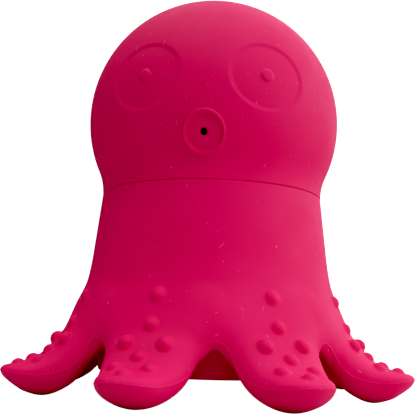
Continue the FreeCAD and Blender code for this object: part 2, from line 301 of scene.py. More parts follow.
body_outside = RevolvedSolid(BODY_CORNERS, BODY_ARCS)
body_cavity = RevolvedSolid(CAVITY_CORNERS, CAVITY_ARCS)
arm_table = SmoothTable(ARM_STATIONS, 0.05, 0.45)
HALF_WIDTH, PARTING, KEEL, CREST = range(4)


def arm_level(along, across, height):
    """Below zero inside one arm and above it outside, but not a distance."""
    rise = height - arm_table(along, PARTING)
    above = rise > 0.0
    limit = np.where(above, arm_table(along, CREST), arm_table(along, KEEL))
    power = np.where(above, CREST_POWER, KEEL_POWER)
    wide = np.abs(across) / arm_table(along, HALF_WIDTH)
    section = (wide**power + np.abs(rise / limit) ** power) ** (2.0 / power)
    past = np.clip((along - TIP_START) / (TIP_END - TIP_START), 0.0, None)
    return section - 1.0 + past**2


def arm_distance(along, across, height):
    """About the distance outside one arm: its level divided by the level's slope."""
    step = 0.05
    place = [along, across, height]
    slope = np.zeros_like(along)
    for axis in range(3):
        ends = []
        for side in (-step, step):
            moved = list(place)
            moved[axis] = place[axis] + side
            ends.append(arm_level(*moved))
        slope += ((ends[1] - ends[0]) / (2.0 * step)) ** 2
    return arm_level(*place) / np.sqrt(np.maximum(slope, 0.0025))


def arm_coordinates(points):
    """Along and across the nearest arm, and along and across the next nearest."""
    radius = np.hypot(points[:, 0], points[:, 1])
    turn = np.degrees(np.arctan2(points[:, 0], -points[:, 1])) - HALF_SECTOR
    turn = np.abs((turn + HALF_SECTOR) % ARM_SPACING - HALF_SECTOR)
    own, other = np.radians(turn), np.radians(ARM_SPACING - turn)
    return (radius * np.cos(own), radius * np.sin(own),
            radius * np.cos(other), radius * np.sin(other))


def body_distance(points):
    """About the distance outside the body moulding, in millimetres."""
    along, across, other_along, other_across = arm_coordinates(points)
    radius, height = np.hypot(points[:, 0], points[:, 1]), points[:, 2]
    arms = smooth_min(arm_distance(along, across, height),
                      arm_distance(other_along, other_across, height), ARM_BLEND)
    skin = smooth_min(body_outside(radius, height), arms, ROOT_BLEND)
    for reach, top, lean, aside, dome in SUCKERS:
        tilt = math.radians(lean)
        centre = (reach - dome * math.sin(tilt), aside, top - dome * math.cos(tilt))
        gap = np.sqrt((along - centre[0]) ** 2 + (across - centre[1]) ** 2
                      + (height - centre[2]) ** 2) - dome
        skin = smooth_min(skin, gap, SUCKER_BLEND)
    from_parting = height - parting_height(points)
    bead = PARTING_BEAD_HEIGHT * np.exp(-((from_parting / PARTING_BEAD_WIDTH) ** 2))
    skin = skin - bead * (radius > PARTING_BEAD_START)
    return smooth_max(skin, -body_cavity(radius, height), CAVITY_BLEND)


def parting_height(points):
    along, _, other_along, _ = arm_coordinates(points)
    return arm_table(smooth_max(along, other_along, ARM_BLEND), PARTING)


def slope_of(field, points, step=0.08):
    """The field's gradient by central differences."""
    slope = np.empty_like(points)
    for axis in range(3):
        shift = np.zeros(3)
        shift[axis] = step
        slope[:, axis] = (field(points + shift) - field(points - shift)) / (2.0 * step)
    return slope


def settle(field, points, rounds=3):
    """Move points along the field's slope on to its zero surface."""
    for _ in range(rounds):
        slope = slope_of(field, points)
        step = field(points) / np.maximum((slope**2).sum(1), 0.2)
        points = points - np.clip(step, -0.4, 0.4)[:, None] * slope
    return points


# ---------------------------------------------------------------- meshing

def surface_net(field, to_world, lines, period=0.0):
    """Corner points and quads of the surface field = 0, one point to a cell of the grid.

    lines are the grid's three rows of stations, which to_world turns into points. With a
    period the first axis closes on itself.
    """
    lines = [np.asarray(line, float) for line in lines]
    shape = tuple(len(line) for line in lines)
    nodes = np.stack(np.meshgrid(*lines, indexing="ij"), -1).reshape(-1, 3)
    value = field(to_world(nodes)).reshape(shape)
    if period:
        value = np.concatenate([value, value[:1]])
        lines[0] = np.append(lines[0], lines[0][0] + period)
    cells = tuple(n - 1 for n in value.shape)
    total, count = np.zeros((math.prod(cells), 3)), np.zeros(math.prod(cells))
    quads = []
    for axis in range(3):
        lower, upper = [slice(None)] * 3, [slice(None)] * 3
        if period:
            lower[0] = upper[0] = slice(None, -1)
        lower[axis], upper[axis] = slice(None, -1), slice(1, None)
        low, high = value[tuple(lower)], value[tuple(upper)]
        at = np.argwhere((low < 0.0) != (high < 0.0))
        below, beyond = low[tuple(at.T)], high[tuple(at.T)]
        crossing = np.stack([lines[d][at[:, d]] for d in range(3)], 1)
        width = lines[axis][at[:, axis] + 1] - lines[axis][at[:, axis]]
        crossing[:, axis] += width * below / (below - beyond)
        first, second = [d for d in range(3) if d != axis]
        corners, kept = [], np.ones(len(at), bool)
        for back_first, back_second in ((0, 0), (1, 0), (1, 1), (0, 1)):
            cell, place = at.copy(), crossing.copy()
            cell[:, first] -= back_first
            cell[:, second] -= back_second
            if period:
                wrapped = cell[:, 0] < 0
                cell[wrapped, 0] += cells[0]
                place[wrapped, 0] += period
            real = ((cell >= 0) & (cell < cells)).all(1)
            kept &= real
            index = np.ravel_multi_index(np.clip(cell, 0, np.array(cells) - 1).T, cells)
            np.add.at(total, index[real], place[real])
            np.add.at(count, index[real], 1.0)
            corners.append(index)
        faces = np.stack(corners, 1)
        turned_over = (below < 0.0) == (axis == 1)
        faces[turned_over] = faces[turned_over, ::-1]
        quads.append(faces[kept])
    quads = np.concatenate(quads)
    used, quads = np.unique(quads, return_inverse=True)
    points = settle(field, to_world(total[used] / count[used][:, None]))
    quads = quads.reshape(-1, 4)
    first, second, third, fourth = points[quads].transpose(1, 0, 2)
    facing = np.cross(third - first, fourth - second)
    if (facing * slope_of(field, first)).sum() < 0.0:
        quads = quads[:, ::-1]
    return points, quads


def steps_through(*stops):
    """Grid stations from (value, spacing) stops: each stretch ends on the next value."""
    line = []
    for (start, spacing), (end, _) in zip(stops, stops[1:]):
        line.extend(np.linspace(start, end, max(1, round((end - start) / spacing)), endpoint=False))
    line.append(stops[-1][0])
    return np.array(line)


def cut_and_cap(mesh, planes):
    """Cut away what lies beyond each plane (point, normal) and close each cut."""
    for point, normal in planes:
        parts = mesh.verts[:] + mesh.edges[:] + mesh.faces[:]
        made = bmesh.ops.bisect_plane(mesh, geom=parts, dist=1e-5, plane_co=point, plane_no=normal,
                                      clear_outer=True)
        rim = [e for e in made["geom_cut"] if isinstance(e, bmesh.types.BMEdge) and e.is_boundary]
        bmesh.ops.holes_fill(mesh, edges=rim, sides=0)


def keep_largest(mesh):
    """Drop all but the island with the most points."""
    left, islands = set(mesh.verts), []
    while left:
        front = [left.pop()]
        island = set(front)
        while front:
            for edge in front.pop().link_edges:
                for vertex in edge.verts:
                    if vertex in left:
                        left.discard(vertex)
                        island.add(vertex)
                        front.append(vertex)
        islands.append(island)
    largest = max(islands, key=len)
    bmesh.ops.delete(mesh, geom=[v for v in mesh.verts if v not in largest], context="VERTS")


def corner_normals(mesh, field, flat_faces):
    """One normal to a face corner: the field's own slope, or the face's where it is flat."""
    points = np.array([v.co for v in mesh.vertices])
    smooth = slope_of(field, points)
    smooth /= np.maximum(np.linalg.norm(smooth, axis=1), 1e-6)[:, None]
    vertex = np.empty(len(mesh.loops), int)
    mesh.loops.foreach_get("vertex_index", vertex)
    normals = smooth[vertex]
    for face in flat_faces:
        polygon = mesh.polygons[face]
        normals[polygon.loop_start:polygon.loop_start + polygon.loop_total] = polygon.normal
    return normals


def finish_piece(mesh, name, normals, turn=0.0):
    """An object in metres from a mesh in millimetres, with its rest shape stored on it."""
    mesh.polygons.foreach_set("use_smooth", np.ones(len(mesh.polygons), bool))
    mesh.normals_split_custom_set(normals.tolist())
    mesh.transform(Matrix.Rotation(math.radians(turn), 4, "Z") @ Matrix.Scale(MM, 4))
    for name_of_rest, source in (("rest_place", "co"), ("rest_normal", "normal")):
        rest = np.empty(len(mesh.vertices) * 3)
        mesh.vertices.foreach_get(source, rest)
        stored = mesh.attributes.new(name_of_rest, "FLOAT_VECTOR", "POINT")
        stored.data.foreach_set("vector", rest)
    piece = bpy.data.objects.new(name, mesh)
    bpy.context.scene.collection.objects.link(piece)
    mesh.materials.append(silicone)
    return piece


def mesh_from(name, points, faces):
    mesh = bpy.data.meshes.new(name)
    mesh.from_pydata(np.asarray(points).tolist(), [], [list(face) for face in faces])
    mesh.update()
    return mesh


# ---------------------------------------------------------------- body and arms

def around(points):
    """World points from (turn in degrees, radius, level), with the levels bent so that
    the web's parting level follows the parting line."""
    turn, radius, level = np.radians(points[:, 0]), points[:, 1], points[:, 2]
    world = np.stack([radius * np.sin(turn), -radius * np.cos(turn), level], 1)
    hold = np.interp(level, [6.0, 11.0, 15.5, 23.0], [0.0, 1.0, 1.0, 0.0])
    world[:, 2] += hold * (parting_height(world) - WEB_PARTING)
    return world


def along_arm(points):
    """World points of the first arm from (along, across, height over the parting line)."""
    turn = math.radians(HALF_SECTOR)
    along, across, rise = points.T
    x = along * math.sin(turn) + across * math.cos(turn)
    y = across * math.sin(turn) - along * math.cos(turn)
    return np.stack([x, y, rise + arm_table(along, PARTING)], 1)


def outward(index):
    """The direction that one arm reaches in."""
    turn = math.radians(HALF_SECTOR + ARM_SPACING * index)
    return Vector((math.sin(turn), -math.cos(turn), 0.0))


def seat(index):
    """A point on one arm's seat, and the seat's normal away from the body."""
    point = outward(index) * SEAT_REACH + Vector((0.0, 0.0, SEAT_HEIGHT))
    return point, (outward(index) - Vector((0.0, 0.0, SEAT_LEAN))).normalized()


def make_bell():
    """The hollow body up to the flat seats of its eight arms."""
    turns = np.arange(0.0, 360.0, 1.0) + 0.5
    radii = steps_through((0.0, 4.0), (20.0, 1.0), (24.0, 0.15), (28.2, 0.45), (36.9, 1.0))
    levels = steps_through((4.6, 0.18), (6.2, 0.45), (12.8, 0.1), (13.8, 0.42), (24.2, 1.6),
                           (46.6, 0.5), (47.6, 0.1), (48.8, 1.0))
    points, quads = surface_net(body_distance, around, (turns, radii, levels), 360.0)
    work = bmesh.new()
    source = mesh_from("bell_source", points, quads)
    work.from_mesh(source)
    bpy.data.meshes.remove(source)
    # The net leaves a hole on the axis in the base's underside and in its floor.
    middles = [e for e in work.edges if e.is_boundary and e.verts[0].co.xy.length < 20.0]
    bmesh.ops.holes_fill(work, edges=middles, sides=0)
    cut_and_cap(work, [seat(index) for index in range(ARM_COUNT)])
    return work


def make_arm():
    """The first arm beyond its seat."""
    along = steps_through((30.9, 0.32), (48.6, 0.22), (50.7, 1.0))
    across = steps_through((-12.8, 0.32), (12.8, 1.0))
    rises = steps_through((-8.4, 0.32), (-0.5, 0.1), (0.5, 0.32), (9.6, 1.0))
    points, quads = surface_net(body_distance, along_arm, (along, across, rises))
    work = bmesh.new()
    source = mesh_from("arm_source", points, quads)
    work.from_mesh(source)
    bpy.data.meshes.remove(source)
    point, normal = seat(0)
    cut_and_cap(work, [(point, -normal)])
    keep_largest(work)
    return work


# A face of the body or of an arm with more sides than this is a flat cap.
CAP_SIDES = 12


def mesh_of(work, name, field):
    """A mesh and its corner normals from a bmesh, whose many-sided faces are flat caps."""
    bmesh.ops.dissolve_degenerate(work, dist=0.004, edges=work.edges[:])
    mesh = bpy.data.meshes.new(name)
    work.to_mesh(mesh)
    work.free()
    flat = [p.index for p in mesh.polygons if p.loop_total > CAP_SIDES]
    return mesh, corner_normals(mesh, field, flat)


# ---------------------------------------------------------------- turned parts

def turned_strip(profile, columns=HEAD_COLUMNS):
    """Points and quads of a profile of (radius, height) turned about the axis."""
    turns = np.arange(columns) * 2.0 * math.pi / columns
    rows = [np.stack([r * np.sin(turns), -r * np.cos(turns), np.full(columns, z)], 1)
            for r, z in profile]
    quads = []
    for row in range(len(profile) - 1):
        for column in range(columns):
            beside = (column + 1) % columns
            quads.append((row * columns + column, row * columns + beside,
                          (row + 1) * columns + beside, (row + 1) * columns + column))
    return np.concatenate(rows), quads


def plug_profile():
    """The closed section of the plug with its two beads, outside first."""
    half = math.sqrt(BEAD_RADIUS**2 - (BEAD_RADIUS - BEAD_RISE) ** 2)
    corners = [(PLUG_INSIDE + 0.5, PLUG_BOTTOM), (PLUG_OUTSIDE - 0.6, PLUG_BOTTOM),
               (PLUG_OUTSIDE, PLUG_BOTTOM + 0.6)]
    arcs = {1: (0.6, 1)}
    for middle in PLUG_BEADS:
        corners += [(PLUG_OUTSIDE, middle - half), (PLUG_OUTSIDE, middle + half)]
        arcs[len(corners) - 2] = (BEAD_RADIUS, 1)
    corners += [(PLUG_OUTSIDE, PLUG_TOP), (PLUG_INSIDE, PLUG_TOP), (PLUG_INSIDE, PLUG_BOTTOM + 0.5)]
    arcs[len(corners) - 1] = (0.5, 1)
    return outline(corners, arcs)


# ---------------------------------------------------------------- head

def direction(turn, elevation):
    """A unit vector from the head's centre."""
    turn, elevation = math.radians(turn), math.radians(elevation)
    return np.array([math.sin(turn) * math.cos(elevation), -math.cos(turn) * math.cos(elevation),
                     math.sin(elevation)])


MOUTH = direction(FACE_TURN + MOUTH_ASIDE, MOUTH_ELEVATION)
EYES = [direction(FACE_TURN + side * EYE_ASIDE, EYE_ELEVATION) for side in (-1, 1)]
PUPILS = [direction(FACE_TURN + side * PUPIL_ASIDE, PUPIL_ELEVATION) for side in (-1, 1)]
HEAD_CENTRE = np.array([0.0, 0.0, HEAD_HEIGHT])
mouth_table = SmoothTable(MOUTH_PROFILE, 0.01, 0.06)
pupil_table = SmoothTable(PUPIL_PROFILE, 0.01, 0.04)


def tangents_at(centre):
    """The sideways and the upward direction on the sphere at a point of it."""
    sideways = np.cross([0.0, 0.0, 1.0], centre)
    sideways /= np.linalg.norm(sideways)
    return sideways, np.cross(centre, sideways)


def arc_from(directions, centre, shape=ROUND):
    """Distance over the head's sphere from a point of it, in millimetres.

    shape stretches the circles of equal distance sideways and upwards.
    """
    chord = np.linalg.norm(directions - centre, axis=1)
    arc = 2.0 * HEAD_RADIUS * np.arcsin(np.clip(chord / 2.0, 0.0, 1.0))
    sideways, upward = tangents_at(centre)
    x, y = directions @ sideways, directions @ upward
    return arc * np.hypot(x / shape[0], y / shape[1]) / np.maximum(np.hypot(x, y), 1e-9)


def head_relief(directions):
    """Height of the face over the sphere."""
    relief = np.zeros(len(directions))
    for eye in EYES:
        inwards = EYE_RADIUS - arc_from(directions, eye, EYE_SHAPE)
        relief -= EYE_DEPTH * smooth_step(inwards / EYE_STEP + 0.5)
    for pupil in PUPILS:
        relief += pupil_table(np.minimum(arc_from(directions, pupil), PUPIL_REACH))
    from_mouth = arc_from(directions, MOUTH, MOUTH_SHAPE)
    return relief + np.where(from_mouth < MOUTH_REACH, mouth_table(from_mouth), 0.0)


def head_surface(directions):
    return HEAD_CENTRE + directions * (HEAD_RADIUS + head_relief(directions))[:, None]


def head_normals(directions, step=0.0015):
    """Normals of the head's outside, by small steps along the sphere."""
    level = np.abs(directions[:, 2:]) < 0.9
    side = np.cross(directions, np.where(level, [[0.0, 0.0, 1.0]], [[1.0, 0.0, 0.0]]))
    side /= np.linalg.norm(side, axis=1)[:, None]
    other = np.cross(directions, side)
    spans = []
    for tangent in (side, other):
        ends = [directions + sign * step * tangent for sign in (-1, 1)]
        ends = [head_surface(end / np.linalg.norm(end, axis=1)[:, None]) for end in ends]
        spans.append(ends[1] - ends[0])
    normals = np.cross(spans[0], spans[1])
    return normals / np.linalg.norm(normals, axis=1)[:, None]


def ring_round(centre, distance, spacing, shape=ROUND):
    """Directions on a ring round a centre, a given distance away over the sphere."""
    count = max(12, int(round(2.0 * math.pi * distance / spacing)))
    sideways, upward = tangents_at(centre)
    turns = np.arange(count) * 2.0 * math.pi / count
    x, y = shape[0] * np.cos(turns), shape[1] * np.sin(turns)
    stretch = np.hypot(x, y)[:, None]
    flat = (x[:, None] * sideways + y[:, None] * upward) / stretch
    tilt = stretch * distance / HEAD_RADIUS
    return centre * np.cos(tilt) + flat * np.sin(tilt)


def even_directions(spacing):
    """Directions spread evenly over the whole sphere on a golden spiral."""
    count = int(4.0 * math.pi * HEAD_RADIUS**2 / spacing**2)
    index = np.arange(count) + 0.5
    height = 1.0 - 2.0 * index / count
    turns = index * math.pi * (3.0 - math.sqrt(5.0))
    flat = np.sqrt(1.0 - height**2)
    return np.stack([flat * np.cos(turns), flat * np.sin(turns), height], 1)


def rim_directions(elevation):
    """One direction for each of the head's columns, all at one elevation."""
    turns = np.arange(HEAD_COLUMNS) * 2.0 * math.pi / HEAD_COLUMNS
    level = math.radians(elevation)
    return np.stack([np.sin(turns) * math.cos(level), -np.cos(turns) * math.cos(level),
                     np.full(HEAD_COLUMNS, math.sin(level))], 1)


def sphere_triangles(directions):
    """Triangles joining directions, flattened from the bottom of the sphere."""
    flat = directions[:, :2] / (1.0 + directions[:, 2:])
    made = delaunay_2d_cdt([Vector(p) for p in flat.tolist()], [], [], 0, 1e-9)
    origin = [source[0] for source in made[3]]
    return [[origin[corner] for corner in face] for face in made[2]]


def face_rings():
    """Rings of directions close together wherever the face has an edge."""
    mouth = [SQUIRT_RADIUS, 0.91, 0.98, 1.06, 1.17, 1.35, 1.7, 2.2, 2.7]
    mouth += [3.1, 3.5, 3.8] + list(np.arange(3.98, 5.4, 0.1)) + [5.6, 6.0, 6.6, 7.3, 8.1]
    rings = [(MOUTH, s, max(0.105, 0.03 + 0.1 * min(s, 4.0)), MOUTH_SHAPE) for s in mouth]
    button = (0.25, 0.55, 0.85, 1.1, 1.25, 1.35, 1.42, 1.48, 1.54, 1.6, 1.7, 1.9, 2.3)
    for eye, pupil in zip(EYES, PUPILS):
        rings += [(eye, s, 0.42, EYE_SHAPE) for s in np.arange(7.8, 9.15, 0.12)]
        rings += [(pupil, s, 0.26) for s in button]
    return rings


def outer_directions():
    """Directions of the head's outside, and how many of them lie round the hole.

    The join to the neck comes first, then the hole, then the rest.
    """
    rings = [ring_round(*ring) for ring in face_rings()]
    # The even spread leaves room for the rings and for the join.
    spread = even_directions(0.95)
    level = math.sin(math.radians(NECK_JOIN_ELEVATION + 1.3))
    free = spread[:, 2] > level
    free &= arc_from(spread, MOUTH, MOUTH_SHAPE) > 8.7
    for eye, pupil in zip(EYES, PUPILS):
        from_eye = arc_from(spread, eye, EYE_SHAPE)
        free &= (from_eye > 9.7) | (from_eye < 7.3)
        free &= arc_from(spread, pupil) > 2.8
    groups = [rim_directions(NECK_JOIN_ELEVATION)] + rings + [spread[free]]
    return np.concatenate(groups), len(rings[0])


def neck_profile(inner_elevation):
    """Outside of the neck down to the seam and up inside, without its two end rows."""
    level = math.radians(NECK_JOIN_ELEVATION)
    start = (HEAD_RADIUS * math.cos(level), HEAD_HEIGHT + HEAD_RADIUS * math.sin(level))
    foot = (NECK_RADIUS, HEAD_FOOT + NECK_EDGE)
    inside = HEAD_RADIUS - HEAD_WALL
    fillet = arc_points(start, foot, NECK_FILLET, 1, 16)[1:]
    edge = arc_points(foot, (NECK_RADIUS - NECK_EDGE, HEAD_FOOT), NECK_EDGE, -1, 6)[1:]
    top = HEAD_HEIGHT + inside * math.sin(math.radians(inner_elevation))
    lip = [(26.4, HEAD_FOOT), (PLUG_OUTSIDE, HEAD_FOOT), (PLUG_INSIDE + 0.3, HEAD_FOOT),
           (PLUG_INSIDE, SEAM + 0.3), (PLUG_INSIDE, (SEAM + top) / 2.0)]
    return np.concatenate([fillet, edge, np.array(lip)])


def make_head():
    """The head: outside with its face, the neck, the inside, and the squirt hole."""
    inside = HEAD_RADIUS - HEAD_WALL
    inner_elevation = -math.degrees(math.acos(PLUG_INSIDE / inside))
    outer, hole_count = outer_directions()
    rim = np.arange(HEAD_COLUMNS)
    hole = HEAD_COLUMNS + np.arange(hole_count)
    points, normals = [head_surface(outer)], [head_normals(outer)]
    hole_set = set(hole.tolist())
    faces = [face for face in sphere_triangles(outer) if not hole_set.issuperset(face)]

    strip, strip_quads = turned_strip(neck_profile(inner_elevation))
    strip_start = len(outer)
    rows = len(strip) // HEAD_COLUMNS
    points.append(strip)
    section = strip.reshape(rows, HEAD_COLUMNS, 3)
    tangents = np.gradient(np.concatenate([points[0][None, rim], section]), axis=0)[1:]
    sideways = np.roll(section, -1, axis=1) - np.roll(section, 1, axis=1)
    strip_normals = np.cross(sideways, -tangents).reshape(-1, 3)
    normals.append(strip_normals / np.linalg.norm(strip_normals, axis=1)[:, None])
    faces += [[strip_start + corner for corner in quad][::-1] for quad in strip_quads]

    inner_rings = [inner_hole_ring(outer[hole]), ring_round(MOUTH, 1.8, 0.7),
                   ring_round(MOUTH, 3.4, 1.2)]
    spread = even_directions(2.4)
    level = math.sin(math.radians(inner_elevation + 3.0))
    free = (spread[:, 2] > level) & (arc_from(spread, MOUTH) > 5.0)
    inner = np.concatenate([rim_directions(inner_elevation)] + inner_rings + [spread[free]])
    inner_start = strip_start + len(strip)
    inner_hole = inner_start + HEAD_COLUMNS + np.arange(hole_count)
    inner_hole_set = set(inner_hole.tolist())
    points.append(HEAD_CENTRE + inner * inside)
    normals.append(-inner)
    for face in sphere_triangles(inner):
        corners = [inner_start + corner for corner in face][::-1]
        if not inner_hole_set.issuperset(corners):
            faces.append(corners)

    last_row = strip_start + (rows - 1) * HEAD_COLUMNS + rim
    for column in range(HEAD_COLUMNS):
        beside = (column + 1) % HEAD_COLUMNS
        faces.append([rim[column], strip_start + column, strip_start + beside, rim[beside]])
        faces.append([last_row[column], inner_start + column, inner_start + beside, last_row[beside]])
    for column in range(hole_count):
        beside = (column + 1) % hole_count
        faces.append([hole[column], hole[beside], inner_hole[beside], inner_hole[column]])
    return np.concatenate(points), faces, np.concatenate(normals)


def inner_hole_ring(outer_hole):
    """The hole's far end: the same circle of the same radius on the inner sphere."""
    inside = HEAD_RADIUS - HEAD_WALL
    flat = outer_hole - (outer_hole @ MOUTH)[:, None] * MOUTH
    flat *= HEAD_RADIUS / inside
    return flat + MOUTH * np.sqrt(1.0 - (flat**2).sum(1))[:, None]


def consistent(mesh):
    """Turn all faces of a closed mesh outwards."""
    work = bmesh.new()
    work.from_mesh(mesh)
    bmesh.ops.recalc_face_normals(work, faces=work.faces[:])
    work.to_mesh(mesh)
    work.free()


# ---------------------------------------------------------------- material

class NodeTree:
    """Short calls that add nodes to a material and link them."""

    def __init__(self, material):
        self.tree = material.node_tree
        self.shader = self.tree.nodes["Principled BSDF"]

    def node(self, kind, inputs=(), **settings):
        """A node with its settings and its inputs, each a value or another node's output."""
        made = self.tree.nodes.new(f"ShaderNode{kind}")
        for name, value in settings.items():
            setattr(made, name, value)
        for name, value in dict(inputs).items():
            self.feed(made, name, value)
        return made

    def feed(self, node, name, value):
        if isinstance(value, bpy.types.NodeSocket):
            self.tree.links.new(value, node.inputs[name])
        else:
            node.inputs[name].default_value = value

    def noise(self, place, cell, detail=2.0):
        """Smooth noise whose lumps are about one cell wide, in metres, around 0.5."""
        made = self.node("TexNoise", {"Vector": place, "Scale": 1.0 / cell, "Detail": detail})
        return made.outputs["Factor" if "Factor" in made.outputs else "Fac"]

    def spread(self, value, low, high, first=0.0, last=1.0):
        """A value's stretch from low to high mapped to the stretch from first to last."""
        made = self.node("MapRange", {"Value": value, "From Min": low, "From Max": high,
                                      "To Min": first, "To Max": last})
        return made.outputs["Result"]

    def maths(self, operation, first, second):
        made = self.node("Math", operation=operation)
        self.feed(made, 0, first)
        self.feed(made, 1, second)
        return made.outputs["Value"]

    def vector_maths(self, operation, first, second):
        """The node itself, because a product or a length comes out of another socket."""
        made = self.node("VectorMath", operation=operation)
        self.feed(made, 0, first)
        self.feed(made, 1, second)
        return made

    def flattened(self, vector, normal):
        """A vector without its part along the surface's normal."""
        lifted = self.vector_maths("PROJECT", vector, normal).outputs["Vector"]
        return self.vector_maths("SUBTRACT", vector, lifted).outputs["Vector"]

    def blend(self, share, first, second):
        """A colour between two others."""
        made = self.node("Mix", data_type="RGBA")
        colours = [socket for socket in made.inputs if socket.type == "RGBA"]
        self.tree.links.new(share, made.inputs[0])
        for socket, value in zip(colours, (first, second)):
            if isinstance(value, bpy.types.NodeSocket):
                self.tree.links.new(value, socket)
            else:
                socket.default_value = value
        return [socket for socket in made.outputs if socket.type == "RGBA"][0]


def dust_specks(nodes, place, cell, share, radius):
    """Share 1 on round specks scattered over some of the cells, and 0 between them."""
    cells = nodes.node("TexVoronoi", {"Vector": place, "Scale": 1.0 / cell, "Randomness": 1.0})
    parts = nodes.node("SeparateColor", {"Color": cells.outputs["Color"]})
    chosen = nodes.maths("LESS_THAN", parts.outputs["Red"], share)
    reach = nodes.spread(parts.outputs["Green"], 0.0, 1.0, 0.45 * radius / cell, radius / cell)
    depth = nodes.maths("DIVIDE", cells.outputs["Distance"], reach)
    near = nodes.spread(depth, 0.6, 1.1, 1.0, 0.0)
    return nodes.maths("MULTIPLY", near, chosen)


def lint_fibres(nodes, place, cell, share, half_length, radius):
    """Share 1 on short, thin, slightly curved fibres lying on the surface."""
    normal = nodes.node("Attribute", attribute_name="rest_normal").outputs["Vector"]
    swirl = nodes.node("TexNoise", {"Vector": place, "Scale": 1.0 / FIBRE_CURL, "Detail": 0.0})
    swirl = nodes.vector_maths("SUBTRACT", swirl.outputs["Color"], (0.5, 0.5, 0.5))
    swirl = nodes.vector_maths("MULTIPLY", swirl.outputs["Vector"], (FIBRE_SWAY,) * 3)
    bent = nodes.vector_maths("ADD", place, swirl.outputs["Vector"]).outputs["Vector"]
    cells = nodes.node("TexVoronoi", {"Vector": bent, "Scale": 1.0 / cell, "Randomness": 1.0})
    offset = nodes.vector_maths("SUBTRACT", bent, cells.outputs["Position"]).outputs["Vector"]
    offset = nodes.flattened(offset, normal)
    heading = nodes.vector_maths("SUBTRACT", cells.outputs["Color"], (0.5, 0.5, 0.5))
    heading = nodes.flattened(heading.outputs["Vector"], normal)
    heading = nodes.vector_maths("NORMALIZE", heading, (0.0, 0.0, 0.0)).outputs["Vector"]
    along = nodes.vector_maths("DOT_PRODUCT", offset, heading).outputs["Value"]
    beside = nodes.vector_maths("CROSS_PRODUCT", offset, heading).outputs["Vector"]
    across = nodes.vector_maths("LENGTH", beside, (0.0, 0.0, 0.0)).outputs["Value"]
    thin = nodes.spread(across, 0.5 * radius, 1.3 * radius, 1.0, 0.0)
    short = nodes.maths("LESS_THAN", nodes.maths("ABSOLUTE", along, 0.0), half_length)
    parts = nodes.node("SeparateColor", {"Color": cells.outputs["Color"]})
    chosen = nodes.maths("LESS_THAN", parts.outputs["Blue"], share)
    return nodes.maths("MULTIPLY", nodes.maths("MULTIPLY", thin, short), chosen)


def silicone_material():
    """Matte, deep pink silicone: faint mottling, fine grain, dust specks and lint."""
    material = bpy.data.materials.new("silicone_pink")
    material.use_nodes = True
    nodes = NodeTree(material)
    shader = nodes.shader
    place = nodes.node("Attribute", attribute_name="rest_place").outputs["Vector"]

    clouds = nodes.spread(nodes.noise(place, cell=0.011, detail=3.0), 0.3, 0.7)
    mottled = nodes.blend(clouds, SILICONE_DEEP, SILICONE_LIGHT)
    pigment = nodes.noise(place, cell=0.0006, detail=2.0)
    pigment = nodes.spread(pigment, 0.5, 0.75, 0.0, 0.4)
    coloured = nodes.blend(pigment, mottled, SILICONE_LIGHT)
    dust = dust_specks(nodes, place, cell=0.0026, share=0.22, radius=0.00016)
    fine_dust = dust_specks(nodes, place, cell=0.0011, share=0.45, radius=0.00009)
    dust = nodes.maths("MAXIMUM", dust, fine_dust)
    lint = lint_fibres(nodes, place, cell=0.0065, share=0.3, half_length=0.0005, radius=0.00004)
    dust = nodes.maths("MAXIMUM", dust, nodes.maths("MULTIPLY", lint, LINT_COVER))
    dusted = nodes.blend(nodes.maths("MULTIPLY", dust, DUST_COVER), coloured, DUST_COLOUR)
    nodes.feed(shader, "Base Color", dusted)

    sheen_patches = nodes.noise(place, cell=0.006, detail=3.0)
    sheen_patches = nodes.spread(sheen_patches, 0.3, 0.7, 0.6, 0.7)
    rough = nodes.maths("MAXIMUM", sheen_patches, nodes.spread(dust, 0.0, 1.0, 0.0, 0.85))
    nodes.feed(shader, "Roughness", rough)

    grain = nodes.noise(place, cell=0.00045, detail=2.0)
    waves = nodes.noise(place, cell=0.005, detail=1.0)
    soft = nodes.node("Bump", {"Strength": 1.0, "Distance": 0.00005, "Height": waves})
    raised_dust = nodes.maths("MULTIPLY", dust, 0.6)
    height = nodes.maths("ADD", nodes.maths("MULTIPLY", grain, 0.4), raised_dust)
    fine = nodes.node("Bump", {"Strength": 1.0, "Distance": 0.00004, "Height": height,
                               "Normal": soft.outputs["Normal"]})
    nodes.feed(shader, "Normal", fine.outputs["Normal"])
    nodes.feed(shader, "IOR", SILICONE_IOR)
    nodes.feed(shader, "Specular IOR Level", SILICONE_SPECULAR)
    return material


silicone = silicone_material()

# ---------------------------------------------------------------- pieces

bell_mesh, bell_normals = mesh_of(make_bell(), "bell_skin", body_distance)
bell = finish_piece(bell_mesh, "bell_skin", bell_normals)
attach(bell, "bell")
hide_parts("bell")

arm_mesh, arm_normals = mesh_of(make_arm(), "arm", body_distance)
for index in range(ARM_COUNT):
    number = index + 1
    arm = finish_piece(arm_mesh.copy(), f"tentacle_{number}_skin", arm_normals, ARM_SPACING * index)
    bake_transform(arm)
    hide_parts(f"tentacle_{number}", f"tentacle_{number}_root")

plug_outline = plug_profile()
plug_points, plug_quads = turned_strip(np.concatenate([plug_outline, plug_outline[:1]]))
plug_points = plug_points[:-HEAD_COLUMNS]
plug_quads = [[corner % len(plug_points) for corner in quad] for quad in plug_quads]
plug_mesh = mesh_from("neck_plug_skin", plug_points, plug_quads)
consistent(plug_mesh)
plug_normals = np.array([plug_mesh.vertices[loop.vertex_index].normal for loop in plug_mesh.loops])
plug = finish_piece(plug_mesh, "neck_plug_skin", plug_normals)
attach(plug, "neck_plug")
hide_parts("neck_plug")

